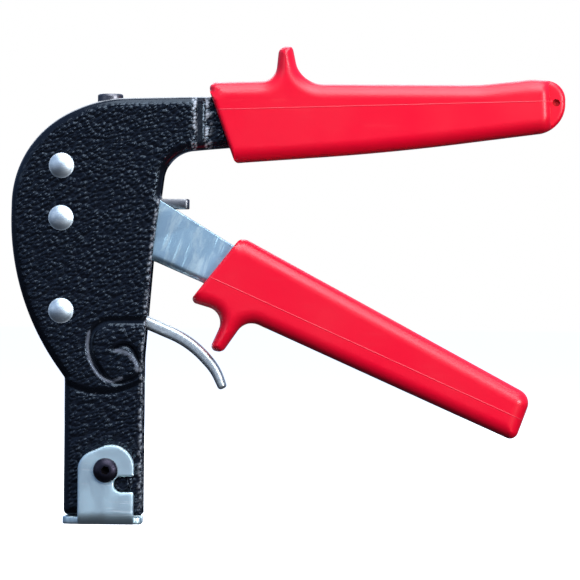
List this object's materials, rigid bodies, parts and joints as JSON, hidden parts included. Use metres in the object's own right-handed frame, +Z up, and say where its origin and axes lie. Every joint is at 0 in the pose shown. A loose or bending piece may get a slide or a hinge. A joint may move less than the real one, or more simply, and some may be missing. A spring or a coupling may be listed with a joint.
{
  "type": "hollow-wall anchor setting tool",
  "caption": "Hand-squeezed setting tool: a pressed steel body with a pull rod and slotted nose, a ratcheting hand lever, a release trigger and two moulded grips.",
  "frame": {"origin": "on the pull rod's axis at the nose plate's outer face", "axes": "+Z up along the pull rod, +X towards the handles, -Y is the front with the nose screw"},
  "size_m": [0.2123, 0.0301, 0.1841],
  "materials": {
    "black_paint": "glossy wrinkled powder coat, raw bright edge",
    "red_plastic": "semi-gloss moulded",
    "zinc_plate": "bright zinc plate, scratched",
    "rivet_steel": "satin",
    "dark_steel": "oiled dark steel",
    "screw_steel": "browned",
    "spring_steel": "oiled"
  },
  "bodies": {
    "housing": {"front_shell": "black_paint", "rear_shell": "black_paint", "upper_rivet": "rivet_steel", "pivot_rivet": "rivet_steel", "lower_rivet": "rivet_steel", "upper_spacer": "dark_steel", "pivot_bush": "dark_steel", "release_bush": "dark_steel", "nose_plate": "zinc_plate", "nose_screw": "screw_steel", "upper_grip": "red_plastic", "top_guide": "dark_steel", "guide_plate": "dark_steel", "return_spring": "spring_steel", "release_spring": "spring_steel"},
    "hand_lever": {"lower_grip": "red_plastic", "lever": "zinc_plate"},
    "drive": {"drive_plate": "dark_steel"},
    "rod": {"pull_rod": "dark_steel", "head_holder": "dark_steel", "holder_pin": "rivet_steel"},
    "trigger": {"release_lever": "zinc_plate"}
  },
  "joints": [
    {"name": "lever_pivot", "type": "hinge", "parent": "housing", "child": "hand_lever", "pos_m": [-0.0181, 0, 0.1175], "axis": [0, -1, 0], "range_deg": [0, 22], "stiffness_Nm_per_rad": 1, "springref_deg": -6.88},
    {"name": "drive_slide", "type": "slide", "parent": "housing", "child": "drive", "axis": [0, 0, 1], "range_m": [0, 0.00687], "deforming": ["return_spring"]},
    {"name": "rod_slide", "type": "slide", "parent": "housing", "child": "rod", "axis": [0, 0, 1], "range_m": [0, 0.04]},
    {"name": "trigger_pivot", "type": "hinge", "parent": "housing", "child": "trigger", "pos_m": [-0.0178, 0, 0.0819], "axis": [0, -1, 0], "range_deg": [0, 2.2], "stiffness_Nm_per_rad": 0.3, "springref_deg": -5.73, "deforming": ["release_spring"]}
  ],
  "couplings": [
    {"joint": "drive_slide", "follows": "lever_pivot", "m_per_rad": 0.01789}
  ]
}
